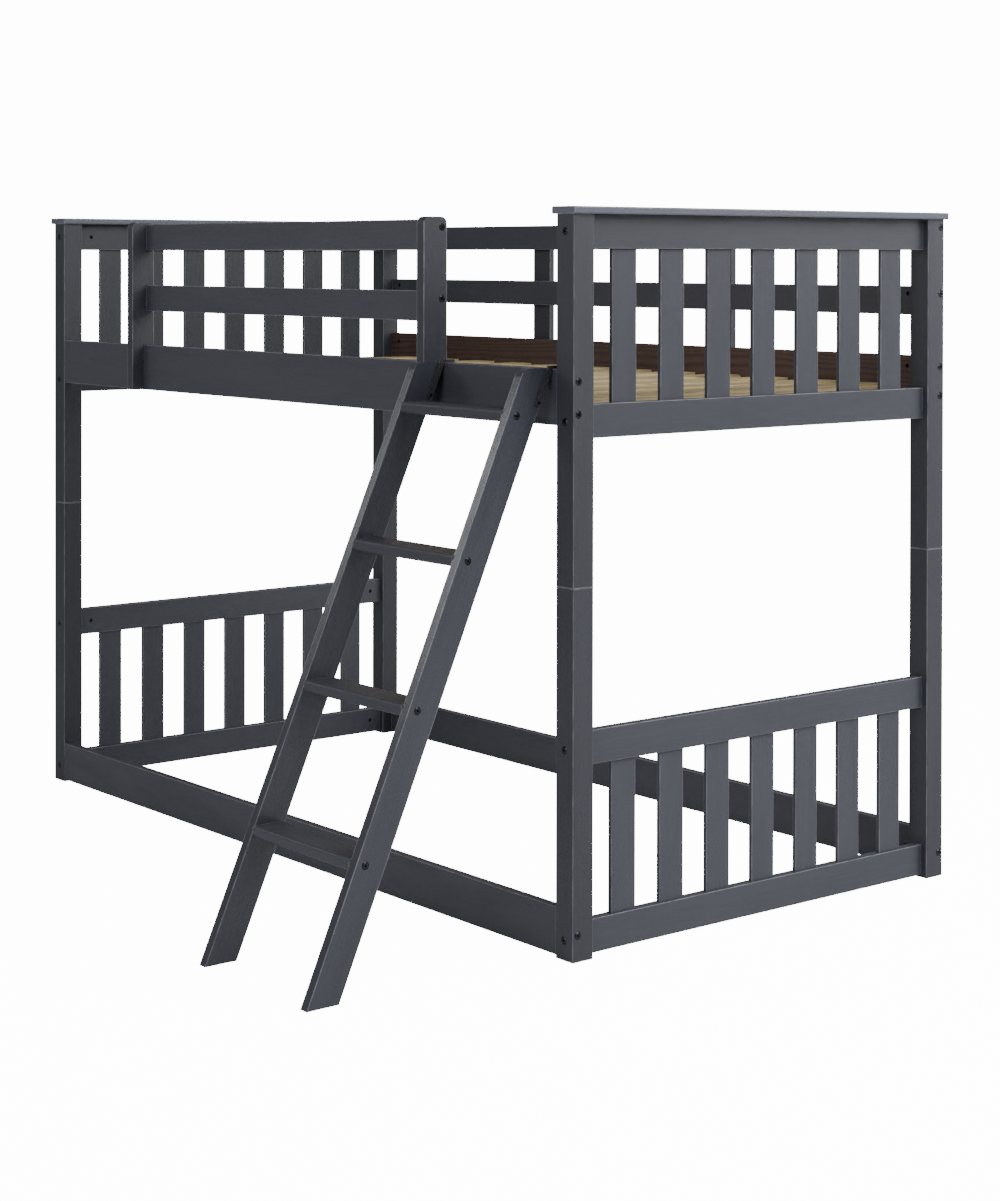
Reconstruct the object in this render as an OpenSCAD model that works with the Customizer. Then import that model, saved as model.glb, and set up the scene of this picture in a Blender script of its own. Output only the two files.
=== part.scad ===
// Bunk bed with a hook-on ladder: two stacking bed units of painted boards on square posts.
// +X runs along the bed's length, -Y is the ladder's side, +Z is up, and the floor is at Z = 0.

/* [Overall size] */
// Length over the posts
bed_l = 2020; // [1650:5:2450]
// Depth over the posts
bed_w = 1035; // [860:5:1250]
// Height of the posts of one unit, lower or upper
unit_h = 699.5; // [580:0.5:850]

/* [Posts] */
// Width of the square posts
post_w = 50.5; // [44:0.5:64]
// Rounding of the long edges of a post
post_r = 2.5; // [1:0.5:5]
// Gap between a lower post and the upper post standing on it
seat_gap = 0.3; // [0.2:0.05:1]
// Diameter of the pins between lower and upper posts
pin_d = 12; // [8:0.5:16]
// Depth of a pin in each post
pin_depth = 45; // [30:1:60]
// Radial gap round a pin in the upper post
pin_gap = 0.4; // [0.3:0.05:1]
// Gap over the end of a pin in the upper post
pin_end_gap = 2; // [1:0.5:5]

/* [End panels] */
// Height of an end panel over its two rails
panel_h = 422; // [340:1:520]
// Height of an end rail
end_rail_h = 65; // [50:0.5:80]
// Thickness of an end rail
end_rail_t = 21.5; // [18:0.5:26]
// Height of the lower panels above the floor
lower_panel_z = 5.4; // [4:0.1:40]
// Number of slats in an end panel
end_slats = 7; // [5:1:8]
// Width of an end slat
end_slat_w = 62; // [45:0.5:75]
// Thickness of an end slat
end_slat_t = 9.5; // [8:0.5:13]
// Depth that a slat is let into each rail
mortise_d = 12; // [8:1:20]
// Rounding of the long edges of boards
board_r = 1.6; // [0.5:0.1:3]

/* [Cap boards] */
// Thickness of a cap board
cap_t = 14.5; // [12:0.5:22]
// Overhang of a cap past the posts along the bed
cap_over_x = 8; // [3:0.5:15]
// Overhang of a cap past the posts front and rear
cap_over_y = 5; // [2:0.5:10]
// Rounding of a cap's long edges
cap_r = 3.5; // [1:0.5:5]

/* [Side rails] */
// Thickness of a side rail
rail_t = 20; // [16:0.5:25]
// Distance of a side rail's outer face behind the posts' outer faces
rail_inset = 2; // [1:0.5:8]
// Height of a lower side rail
lower_rail_h = 91.5; // [70:0.5:120]
// Height of the lower side rails above the floor
lower_rail_z = 4.5; // [4:0.5:40]
// Height of an upper side rail
upper_rail_h = 106.5; // [85:0.5:130]
// Distance of an upper side rail's top below the posts' tops
upper_rail_drop = 291; // [240:1:340]

/* [Deck] */
// Width and height of a ledger strip
ledger_s = 25; // [20:0.5:32]
// Height of a ledger strip above the underside of its side rail
ledger_lift = 1.5; // [0:0.5:15]
// Distance of a ledger strip's end from the post
ledger_end = 60; // [50:1:90]
// Width of a bed slat
bed_slat_w = 70; // [55:0.5:84]
// Thickness of a bed slat
bed_slat_t = 18; // [14:0.5:22]
// Gap between a bed slat's end and the side rail
bed_slat_gap = 1; // [0.5:0.5:4]

/* [Guard rails] */
// Height of a guard rail
guard_h = 61.5; // [48:0.5:70]
// Thickness of a guard rail
guard_t = 18; // [15:0.5:22]
// Distance of the front top rail's upper edge below the posts' tops
front_top_drop = 5; // [0:0.5:20]
// Distance of the front middle rail's upper edge below the posts' tops
front_mid_drop = 149; // [130:0.5:165]
// Distance of the rear top rail's upper edge below the posts' tops
rear_top_drop = 0.5; // [0:0.5:15]
// Distance of the rear middle rail's upper edge below the posts' tops
rear_mid_drop = 142; // [130:0.5:165]
// Thickness of a guard post along the bed
guard_post_t = 23.5; // [18:0.5:30]
// Depth of a guard post in front of the side rail
guard_post_front = 30; // [24:0.5:36]
// Depth of a guard post behind the side rail's outer face
guard_post_back = 28; // [26:0.5:34]
// Height of a guard post's foot above the side rail's underside
guard_post_lift = 0.5; // [0:0.5:10]
// Distance of a guard post's lower fixing bolt below the side rail's top
guard_fix_low = 50; // [40:1:70]
// Distance of a guard post's upper fixing bolt below the side rail's top
guard_fix_high = 16; // [14:0.5:24]
// Distance of a fixing bolt's tip behind the guard post's front
guard_fix_stop = 8; // [5:0.5:12]
// Distance of the front guard rails behind the side rail's outer face
guard_setback = 6.5; // [2:0.5:8]
// Radius of the rounded top corners of a guard post
guard_post_r = 14; // [6:0.5:20]
// Width of the opening at the left end of the front guard
left_opening = 365; // [300:1:380]
// Distance of a rear batten's middle from the bed's middle
batten_x = 332; // [200:1:450]
// Width of a rear batten
batten_w = 66; // [50:0.5:80]
// Thickness of a rear batten
batten_t = 15; // [12:0.5:20]
// Height of a rear batten's foot above the side rail's underside
batten_lift = 4; // [0:0.5:12]
// Distance of a rear batten's top below the rear top rail's upper edge
batten_drop = 9; // [4:0.5:20]

/* [Ladder] */
// Width over the ladder's stiles
ladder_w = 356; // [310:1:420]
// Gap between the ladder and the front right post
ladder_gap_right = 17.75; // [12:0.25:30]
// Gap between the ladder and the guard post beside it
ladder_gap_left = 4.5; // [3:0.25:12]
// Width of a stile, square to its length
stile_w = 63; // [55:0.5:80]
// Thickness of a stile
stile_t = 20.2; // [17:0.1:25]
// Lean of the ladder away from upright, in degrees
lean = 23.69; // [15:0.01:28]
// Depth of the upright cut where the stiles bear on the side rail
stile_bite = 3.1; // [1:0.1:8]
// Height of the stiles' tops above the side rail
stile_over = 1; // [0:0.5:10]
// Radius of the rounded top front corner of a stile
stile_r = 24; // [10:0.5:30]
// Height of the lowest tread's top above the floor
first_tread = 248; // [200:1:280]
// Distance of the highest tread's top below the side rail's top
last_tread_drop = 75.5; // [60:0.5:100]
// Thickness of a tread
tread_t = 22; // [18:0.5:26]
// Rounding of a tread's long edges
tread_r = 5.5; // [2:0.5:8]
// Gap between the ladder and the side rail it hangs on
hang_gap = 0.3; // [0.2:0.05:1]
// Thickness of the steel of a hook
hook_t = 5; // [3:0.5:6]
// Width of the steel of a hook
hook_w = 12; // [10:0.5:16]
// Distance of a hook's arm from the stile's rear edge
hook_edge = 2; // [0:0.5:6]
// Length of a hook's leg behind the side rail
hook_leg = 26; // [15:1:34]
// Distance of a hook's fixing screw below the side rail's top
hook_screw_drop = 64; // [45:1:80]

/* [Hardware] */
// Diameter of the frame bolts
bolt_d = 6; // [5:0.5:8]
// Diameter of the bolt holes
bolt_hole_d = 7; // [6:0.5:9]
// Diameter of the bolt heads
head_d = 14; // [10:0.5:16]
// Height of the bolt heads
head_h = 3.6; // [2:0.1:5]
// Height of the sloped crown of a bolt head
head_crown = 1.6; // [0.5:0.1:1.8]
// Depth of the seats of the bolt heads
head_recess = 2.6; // [1:0.1:4]
// Gap round a bolt head in its seat
head_gap = 0.6; // [0.3:0.1:2]
// Size across the corners of a bolt's hexagon socket
socket_d = 5.6; // [4:0.1:7]
// Length of a bolt past the end of the board it pulls on
bolt_reach = 42; // [36:1:60]
// Distance of a barrel nut from the end of its board
nut_inset = 33; // [25:1:45]
// Diameter of a barrel nut
nut_d = 10; // [8:0.5:12]
// Length of a barrel nut
nut_l = 12; // [9:0.5:14]
// Distance of the side rail bolts from the rail's edges
rail_bolt_edge = 22.5; // [18:0.5:30]
// Distance of a guard rail's bolt below its upper edge
guard_bolt_drop = 16; // [12:0.5:24]
// Distance of a tread bolt behind the stile's front edge
tread_bolt_in = 21; // [16:0.5:34]
// Length of a tread bolt in the tread
tread_bolt_l = 45; // [30:1:60]
// Diameter of the wood screws
screw_d = 4; // [3:0.5:5]
// Diameter of the heads of the wood screws
screw_head_d = 8; // [6:0.5:10]
// Depth of a wood screw past the first board
screw_bite = 14; // [8:1:17]

/* [Hidden] */

// one node each for the bed slats and the treads
bed_slats = 12;
treads = 4;

$fn = 48;
PAINT = [0.24, 0.26, 0.29];
CAP_PAINT = [0.30, 0.32, 0.35];
PINE = [0.78, 0.70, 0.55];
RED_WOOD = [0.36, 0.22, 0.17];
BLACK = [0.07, 0.07, 0.08];
STEEL = [0.62, 0.62, 0.63];
// overrun of a cutting tool past the face that it opens
EPS = 1;
// run of a bolt head's crown to its rise, and the share of the head that the socket goes through
CROWN_RUN = 1.3;
SOCKET_SHARE = 0.7;

half_l = bed_l / 2;
inner_x = half_l - post_w;
end_x = half_l - post_w / 2;
top_z = 2 * unit_h;
LEFT = -1;
RIGHT = 1;
FRONT = 0;
REAR = 1;

// side rails: middle of the thickness, front and rear, and the heights of both units' rails
rail_mid_y = [rail_inset + rail_t / 2, bed_w - rail_inset - rail_t / 2];
upper_rail_top = top_z - upper_rail_drop;
upper_rail_z = upper_rail_top - upper_rail_h;
upper_bolt_z = [upper_rail_z + rail_bolt_edge, upper_rail_top - rail_bolt_edge];
lower_bolt_z = [lower_rail_z + lower_rail_h / 2];

// end rails: undersides of the bottom and top rail of each panel
lower_panel = [lower_panel_z, lower_panel_z + panel_h - end_rail_h];
upper_panel = [top_z - panel_h, top_z - end_rail_h];
end_slat_gap = (bed_w - 2 * post_w - end_slats * end_slat_w) / (end_slats + 1);
slat_h = panel_h - 2 * end_rail_h + 2 * mortise_d;

// deck
ledger_z = upper_rail_z + ledger_lift;
deck_z = ledger_z + ledger_s;
rail_inner_y = rail_inset + rail_t;
bed_slat_pitch = (2 * inner_x - bed_slats * bed_slat_w) / (bed_slats + 1) + bed_slat_w;
bed_slat_x0 = -inner_x + bed_slat_pitch - bed_slat_w / 2;

// guards
front_guard_y = rail_inset + guard_setback;
rear_guard_y = bed_w - rail_inset - guard_t;
front_guard_z = [top_z - front_mid_drop - guard_h, top_z - front_top_drop - guard_h];
rear_guard_z = [top_z - rear_mid_drop - guard_h, top_z - rear_top_drop - guard_h];
right_opening = ladder_w + ladder_gap_right + ladder_gap_left;
guard_post_x = [-inner_x + left_opening, inner_x - right_opening - guard_post_t];
guard_rail_x = [guard_post_x[0] + guard_post_t, guard_post_x[1]];
guard_post_z = upper_rail_z + guard_post_lift;
guard_fix_l = rail_t + guard_post_front - guard_fix_stop;

// ladder: horizontal depth of a stile, and where its front edge meets the floor
stile_depth = stile_w / cos(lean);
hang_y = rail_inset - hang_gap;
ladder_top = upper_rail_top + stile_over;
foot_y = hang_y + stile_bite - stile_depth - upper_rail_top * tan(lean);
ladder_x1 = inner_x - ladder_gap_right;
ladder_x0 = ladder_x1 - ladder_w;
last_tread = upper_rail_top - last_tread_drop;
tread_pitch = (last_tread - first_tread) / (treads - 1);

// middle of the whole object front to rear
rear_y = bed_w - rail_inset + batten_t;
mid_y = (foot_y + rear_y) / 2;

// ---- shapes and placing ----

module place() {
    translate([0, -mid_y, 0])
        children();
}

module round_rect(a, b, r) {
    translate([r, 0])
        square([a - 2 * r, b]);
    translate([0, r])
        square([a, b - 2 * r]);
    for (x = [r, a - r], y = [r, b - r])
        translate([x, y])
            circle(r = r);
}

// extrudes an outline drawn as (Y, Z) along +X
module along_x(x, l) {
    translate([x, 0, 0])
        rotate([90, 0, 90])
            linear_extrude(l)
                children();
}

// extrudes an outline drawn as (X, Z) along +Y
module along_y(y, l) {
    translate([0, y + l, 0])
        rotate([90, 0, 0])
            linear_extrude(l)
                children();
}

// boards with rounded long edges, from a lowest corner and a size
module board_x(p, s, r) {
    along_x(p[0], s[0])
        translate([p[1], p[2]])
            round_rect(s[1], s[2], r);
}

module board_y(p, s, r) {
    along_y(p[1], s[1])
        translate([p[0], p[2]])
            round_rect(s[0], s[2], r);
}

module board_z(p, s, r) {
    translate(p)
        linear_extrude(s[2])
            round_rect(s[0], s[1], r);
}

// puts a tool that runs along +Z at each site, a point and a turn
module at(sites) {
    for (s = sites)
        translate(s[0])
            rotate(s[1])
                children();
}

// ---- hardware sites ----

// bolts through a post into the end of a side or guard rail
function rail_sites(side, y, zs) = [for (z = zs) [[side * half_l, y, z], [0, -90 * side, 0]]];

// bolts through a post into the end of an end rail
function end_sites(side, end, zs) = [
    for (z = zs) [[side * end_x, end * bed_w, z], [end == REAR ? 90 : -90, 0, 0]]
];

// barrel nuts in a board that runs along X, opened from its inner face
function rail_nut_sites(x, y, zs, end) = [for (z = zs) [[x, y, z], [end == REAR ? 90 : -90, 0, 0]]];

// barrel nuts in an end rail, opened from its inner face
function end_nut_sites(side, zs) = [
    for (z = zs, y = [post_w + nut_inset, bed_w - post_w - nut_inset])
        [[side * end_x, y, z], [0, -90 * side, 0]]
];

function mids(zs, h) = [for (z = zs) z + h / 2];
function bolt_heights(zs) = [for (z = zs) z + guard_h - guard_bolt_drop];

guard_mid_y = [front_guard_y + guard_t / 2, rear_guard_y + guard_t / 2];
nut_x = inner_x - nut_inset;
batten_screw_z = concat([upper_rail_z + upper_rail_h / 2], mids(rear_guard_z, guard_h));
guard_fix_z = [upper_rail_top - guard_fix_low, upper_rail_top - guard_fix_high];

// bolts through the guard posts into the front guard rails
guard_sites = [
    for (z = bolt_heights(front_guard_z), s = [0, 1])
        [[guard_post_x[s] + s * guard_post_t, guard_mid_y[0], z], [0, s == 0 ? 90 : -90, 0]]
];

// bolts through the front side rail into the guard posts
guard_fix_sites = [
    for (x = guard_post_x, z = guard_fix_z)
        [[x + guard_post_t / 2, rail_inner_y, z], [90, 0, 0]]
];

// screws through the rear battens into the rails
batten_sites = [
    for (s = [-1, 1], z = batten_screw_z)
        [[s * batten_x, rear_y, z], [90, 0, 0]]
];

// screws down through the bed slats, and screws through the ledger strips into the side rails
slat_screw_sites = [
    for (i = [0 : bed_slats - 1], y = [rail_inner_y + ledger_s / 2, bed_w - rail_inner_y - ledger_s / 2])
        [[bed_slat_x0 + i * bed_slat_pitch, y, deck_z + bed_slat_t], [180, 0, 0]]
];
function ledger_face_y(end) = end == FRONT ? rail_inner_y + ledger_s : bed_w - rail_inner_y - ledger_s;
ledger_screw_x = [for (i = [0 : 2 : bed_slats - 2]) bed_slat_x0 + (i + 0.5) * bed_slat_pitch];
ledger_screw_sites = [
    for (x = ledger_screw_x, e = [FRONT, REAR])
        [[x, ledger_face_y(e), ledger_z + ledger_s / 2], [e == FRONT ? 90 : -90, 0, 0]]
];

// ---- hardware ----

// cutting tool for a bolt: shank hole and head seat
module bolt_bore(depth) {
    translate([0, 0, -EPS])
        cylinder(d = bolt_hole_d, h = depth + EPS);
    translate([0, 0, -EPS])
        cylinder(d = head_d + 2 * head_gap, h = head_recess + EPS);
}

// bolt with a domed head and a hexagon socket, its tip at the given depth
module bolt(depth) {
    difference() {
        union() {
            translate([0, 0, head_recess])
                cylinder(d = bolt_d, h = depth - head_recess);
            translate([0, 0, head_recess - head_h + head_crown])
                cylinder(d = head_d, h = head_h - head_crown);
            translate([0, 0, head_recess - head_h])
                cylinder(d1 = head_d - 2 * CROWN_RUN * head_crown, d2 = head_d, h = head_crown);
        }
        translate([0, 0, head_recess - head_h - EPS])
            cylinder(d = socket_d, h = SOCKET_SHARE * head_h + EPS, $fn = 6);
    }
}

// barrel nut across a board, crossed by the bolt's hole
module barrel_nut(turn) {
    difference() {
        translate([0, 0, -nut_l / 2])
            cylinder(d = nut_d, h = nut_l);
        rotate(turn)
            cylinder(d = bolt_d, h = 2 * nut_d, center = true);
    }
}

// cutting tool for a barrel nut, out through the inner face of a board of the given thickness
module nut_bore(t) {
    translate([0, 0, -nut_l / 2])
        cylinder(d = nut_d, h = nut_l / 2 + t / 2 + EPS);
}

module screw(depth) {
    cylinder(d1 = screw_head_d, d2 = screw_d, h = (screw_head_d - screw_d) / 2);
    cylinder(d = screw_d, h = depth);
}

module screw_bore(depth) {
    translate([0, 0, -EPS])
        cylinder(d = screw_head_d, h = EPS);
    screw(depth);
}

// ---- posts ----

module post(side, end, z, h) {
    x = side == LEFT ? -half_l : inner_x;
    y = end == FRONT ? 0 : bed_w - post_w;
    board_z([x, y, z], [post_w, post_w, h], post_r);
}

module post_axis(side, end, z) {
    translate([side * end_x, end == FRONT ? post_w / 2 : bed_w - post_w / 2, z])
        children();
}

module lower_post(side, end) {
    color(PAINT) place()
        difference() {
            post(side, end, 0, unit_h - seat_gap);
            at(concat(
                rail_sites(side, rail_mid_y[end], lower_bolt_z),
                end_sites(side, end, mids(lower_panel, end_rail_h))
            ))
                bolt_bore(post_w + EPS);
            post_axis(side, end, unit_h - seat_gap - pin_depth)
                cylinder(d = pin_d, h = pin_depth + EPS);
        }
}

module upper_post(side, end) {
    color(PAINT) place()
        difference() {
            post(side, end, unit_h, unit_h);
            at(concat(
                rail_sites(side, rail_mid_y[end], upper_bolt_z),
                end_sites(side, end, mids(upper_panel, end_rail_h)),
                end == REAR ? rail_sites(side, guard_mid_y[REAR], bolt_heights(rear_guard_z)) : []
            ))
                bolt_bore(post_w + EPS);
            post_axis(side, end, unit_h - EPS)
                cylinder(d = pin_d + 2 * pin_gap, h = pin_depth + pin_end_gap + EPS);
        }
}

module post_pins() {
    color(STEEL) place()
        for (side = [LEFT, RIGHT], end = [FRONT, REAR])
            post_axis(side, end, unit_h - seat_gap - pin_depth)
                cylinder(d = pin_d, h = 2 * pin_depth + seat_gap);
}

// ---- end panels ----

module end_slat_row(side, z, h) {
    for (i = [0 : end_slats - 1])
        board_z(
            [side * end_x - end_slat_t / 2, post_w + end_slat_gap + i * (end_slat_w + end_slat_gap), z],
            [end_slat_t, end_slat_w, h],
            board_r
        );
}

// rail with its mortises opened up or down
module end_rail(side, z, mortise_z) {
    mid_z = [z + end_rail_h / 2];
    color(PAINT) place()
        difference() {
            board_y(
                [side * end_x - end_rail_t / 2, post_w, z],
                [end_rail_t, bed_w - 2 * post_w, end_rail_h],
                board_r
            );
            end_slat_row(side, mortise_z, mortise_d + EPS);
            at(concat(end_sites(side, FRONT, mid_z), end_sites(side, REAR, mid_z)))
                bolt_bore(post_w + bolt_reach + EPS);
            at(end_nut_sites(side, mid_z))
                nut_bore(end_rail_t);
        }
}

module bottom_rail(side, panel) {
    end_rail(side, panel[0], panel[0] + end_rail_h - mortise_d);
}

module top_rail(side, panel) {
    end_rail(side, panel[1], panel[1] - EPS);
}

module slats(side, panel) {
    color(PAINT) place()
        end_slat_row(side, panel[0] + end_rail_h - mortise_d, slat_h);
}

module cap_board(side) {
    color(CAP_PAINT) place()
        board_y(
            [side * end_x - post_w / 2 - cap_over_x, -cap_over_y, top_z],
            [post_w + 2 * cap_over_x, bed_w + 2 * cap_over_y, cap_t],
            cap_r
        );
}

// ---- side rails ----

module side_rail(end, z, h, bolt_z) {
    difference() {
        board_x([-inner_x, rail_mid_y[end] - rail_t / 2, z], [2 * inner_x, rail_t, h], board_r);
        for (side = [LEFT, RIGHT]) {
            at(rail_sites(side, rail_mid_y[end], bolt_z))
                bolt_bore(post_w + bolt_reach + EPS);
            at(rail_nut_sites(side * nut_x, rail_mid_y[end], bolt_z, end))
                nut_bore(rail_t);
        }
    }
}

module lower_side_rail(end) {
    color(PAINT) place()
        side_rail(end, lower_rail_z, lower_rail_h, lower_bolt_z);
}

module front_upper_side_rail() {
    color(PAINT) place()
        difference() {
            side_rail(FRONT, upper_rail_z, upper_rail_h, upper_bolt_z);
            at(guard_fix_sites)
                bolt_bore(rail_t + EPS);
            at(ledger_screw_sites)
                screw_bore(ledger_s + screw_bite);
        }
}

module rear_upper_side_rail() {
    color(RED_WOOD) place()
        difference() {
            side_rail(REAR, upper_rail_z, upper_rail_h, upper_bolt_z);
            at(batten_sites)
                cylinder(d = bolt_d, h = batten_t + screw_bite);
            at(ledger_screw_sites)
                screw_bore(ledger_s + screw_bite);
        }
}

// ---- deck ----

module ledger_strips() {
    color(PINE) place()
        difference() {
            for (y = [rail_inner_y, bed_w - rail_inner_y - ledger_s])
                board_x(
                    [-inner_x + ledger_end, y, ledger_z],
                    [2 * (inner_x - ledger_end), ledger_s, ledger_s],
                    board_r
                );
            at(ledger_screw_sites)
                screw_bore(ledger_s + EPS);
            at(slat_screw_sites)
                cylinder(d = screw_d, h = bed_slat_t + screw_bite);
        }
}

module bed_slat(i) {
    color(PINE) place()
        difference() {
            board_y(
                [bed_slat_x0 + i * bed_slat_pitch - bed_slat_w / 2, rail_inner_y + bed_slat_gap, deck_z],
                [bed_slat_w, bed_w - 2 * (rail_inner_y + bed_slat_gap), bed_slat_t],
                board_r
            );
            at([slat_screw_sites[2 * i], slat_screw_sites[2 * i + 1]])
                screw_bore(bed_slat_t + EPS);
        }
}

module deck_screws() {
    color(STEEL) place() {
        at(slat_screw_sites)
            screw(bed_slat_t + screw_bite);
        at(ledger_screw_sites)
            screw(ledger_s + screw_bite);
    }
}

// ---- guards ----

// board on edge, notched over the side rail, with a rounded top
module guard_post(s) {
    depth = guard_post_front + guard_post_back;
    y = rail_inset - guard_post_front;
    h = top_z - guard_post_z;
    color(PAINT) place()
        difference() {
            along_x(guard_post_x[s], guard_post_t)
                translate([y, guard_post_z]) {
                    square([depth, h - guard_post_r]);
                    translate([guard_post_r, h - 2 * guard_post_r])
                        square([depth - 2 * guard_post_r, 2 * guard_post_r]);
                    for (c = [guard_post_r, depth - guard_post_r])
                        translate([c, h - guard_post_r])
                            circle(r = guard_post_r);
                }
            translate([guard_post_x[s] - EPS, rail_inset, guard_post_z - EPS])
                cube([guard_post_t + 2 * EPS, depth, upper_rail_top - guard_post_z + EPS]);
            at(guard_sites)
                bolt_bore(guard_post_t + EPS);
            at(guard_fix_sites)
                cylinder(d = bolt_d, h = guard_fix_l);
        }
}

// guard rail between two stops, bolted at both ends
module guard_rail(x, y, z, end) {
    difference() {
        board_x([x[0], y, z], [x[1] - x[0], guard_t, guard_h], board_r);
        for (i = [0, 1], s = 1 - 2 * i)
            translate([x[i], y + guard_t / 2, z + guard_h - guard_bolt_drop]) {
                translate([-s * EPS, 0, 0])
                    rotate([0, 90 * s, 0])
                        cylinder(d = bolt_hole_d, h = bolt_reach + 2 * EPS);
                translate([s * nut_inset, 0, 0])
                    rotate([end == REAR ? 90 : -90, 0, 0])
                        nut_bore(guard_t);
            }
    }
}

module front_guard_rail(i) {
    color(PAINT) place()
        guard_rail(guard_rail_x, front_guard_y, front_guard_z[i], FRONT);
}

module rear_guard_rail(i) {
    color(PAINT) place()
        difference() {
            guard_rail([-inner_x, inner_x], rear_guard_y, rear_guard_z[i], REAR);
            at(batten_sites)
                cylinder(d = bolt_d, h = batten_t + screw_bite);
        }
}

module rear_battens() {
    z = upper_rail_z + batten_lift;
    color(PAINT) place()
        difference() {
            for (s = [-1, 1])
                board_z(
                    [s * batten_x - batten_w / 2, rear_y - batten_t, z],
                    [batten_w, batten_t, top_z - rear_top_drop - batten_drop - z],
                    board_r
                );
            at(batten_sites)
                bolt_bore(batten_t + EPS);
        }
}

// ---- ladder ----

// front edge of a stile at a height
function stile_y(z) = foot_y + z * tan(lean);
function tread_z(i) = first_tread + i * tread_pitch;

// outline of a stile as (Y, Z): flat foot, upright cut at the top back, rounded top front
module stile_outline() {
    cz = ladder_top - stile_r;
    cy = foot_y + (stile_r + cz * sin(lean)) / cos(lean);
    cut_z = (hang_y - foot_y - stile_depth) / tan(lean);
    polygon([
        [foot_y, 0],
        [foot_y + stile_depth, 0],
        [hang_y, cut_z],
        [hang_y, ladder_top],
        [cy, ladder_top],
        [cy, cz],
        [cy - stile_r * cos(lean), cz + stile_r * sin(lean)]
    ]);
    translate([cy, cz])
        circle(r = stile_r);
}

tread_bolt_sites = [
    for (i = [0 : treads - 1], s = [0, 1])
        let (z = tread_z(i) - tread_t / 2)
            [[s == 0 ? ladder_x0 : ladder_x1, stile_y(z) + tread_bolt_in, z], [0, s == 0 ? 90 : -90, 0]]
];

// fixing screw of each hook: one on the inner face of the left stile, one on the outer face of the right
hook_x = [ladder_x0 + stile_t, ladder_x1];
hook_z = upper_rail_top - hook_screw_drop;
hook_y = stile_y(hook_z) + stile_depth - (hook_w / 2 + hook_edge) / cos(lean);
hook_sites = [for (x = hook_x) [[x + hook_t, hook_y, hook_z], [0, -90, 0]]];

module stile(s) {
    color(PAINT) place()
        difference() {
            along_x(s == 0 ? ladder_x0 : ladder_x1 - stile_t, stile_t)
                stile_outline();
            at(tread_bolt_sites)
                bolt_bore(stile_t + EPS);
            at(hook_sites)
                cylinder(d = screw_d, h = hook_t + screw_bite);
        }
}

module tread(i) {
    z = tread_z(i) - tread_t;
    color(PAINT) place()
        difference() {
            board_x(
                [ladder_x0 + stile_t, stile_y(z + tread_t / 2), z],
                [ladder_w - 2 * stile_t, stile_depth, tread_t],
                tread_r
            );
            at([tread_bolt_sites[2 * i], tread_bolt_sites[2 * i + 1]])
                cylinder(d = bolt_d, h = stile_t + tread_bolt_l);
        }
}

// hook outline as (Y, Z): an arm up the stile, a bridge over the rail and a leg behind it
module hook_outline() {
    over_z = upper_rail_top + hang_gap;
    behind_y = rail_inner_y + hang_gap;
    half_w = hook_w / 2;
    side = [half_w * cos(lean), -half_w * sin(lean)];
    clear_z = min(over_z, hook_z + (hang_y - hook_y - half_w / cos(lean)) / tan(lean));
    arm_y = hook_y - half_w / cos(lean);
    polygon([
        [hook_y + side[0], hook_z + side[1]],
        [arm_y + hook_w / cos(lean) + (clear_z - hook_z) * tan(lean), clear_z],
        [hang_y, over_z],
        [behind_y, over_z],
        [behind_y, over_z - hook_leg],
        [behind_y + hook_t, over_z - hook_leg],
        [behind_y + hook_t, over_z + hook_t],
        [arm_y + (over_z + hook_t - hook_z) * tan(lean), over_z + hook_t],
        [hook_y - side[0], hook_z - side[1]]
    ]);
    translate([hook_y, hook_z])
        circle(d = hook_w);
}

module ladder_hooks() {
    color(BLACK) place()
        difference() {
            for (x = hook_x)
                along_x(x, hook_t)
                    hook_outline();
            at(hook_sites)
                screw_bore(hook_t + EPS);
        }
}

module ladder_bolts() {
    color(BLACK) place() {
        at(tread_bolt_sites)
            bolt(stile_t + tread_bolt_l);
        at(hook_sites)
            screw(hook_t + screw_bite);
    }
}

// ---- bolts and nuts of the two units ----

module lower_frame_bolts() {
    color(BLACK) place()
        for (side = [LEFT, RIGHT], end = [FRONT, REAR])
            at(concat(
                rail_sites(side, rail_mid_y[end], lower_bolt_z),
                end_sites(side, end, mids(lower_panel, end_rail_h))
            ))
                bolt(post_w + bolt_reach);
}

module lower_barrel_nuts() {
    color(BLACK) place()
        for (side = [LEFT, RIGHT]) {
            for (end = [FRONT, REAR])
                at(rail_nut_sites(side * nut_x, rail_mid_y[end], lower_bolt_z, end))
                    barrel_nut([0, 90, 0]);
            at(end_nut_sites(side, mids(lower_panel, end_rail_h)))
                barrel_nut([90, 0, 0]);
        }
}

module upper_frame_bolts() {
    color(BLACK) place() {
        for (side = [LEFT, RIGHT], end = [FRONT, REAR])
            at(concat(
                rail_sites(side, rail_mid_y[end], upper_bolt_z),
                end_sites(side, end, mids(upper_panel, end_rail_h)),
                end == REAR ? rail_sites(side, guard_mid_y[REAR], bolt_heights(rear_guard_z)) : []
            ))
                bolt(post_w + bolt_reach);
        at(guard_sites)
            bolt(guard_post_t + bolt_reach);
        at(guard_fix_sites)
            bolt(guard_fix_l);
        at(batten_sites)
            bolt(batten_t + screw_bite);
    }
}

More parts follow.
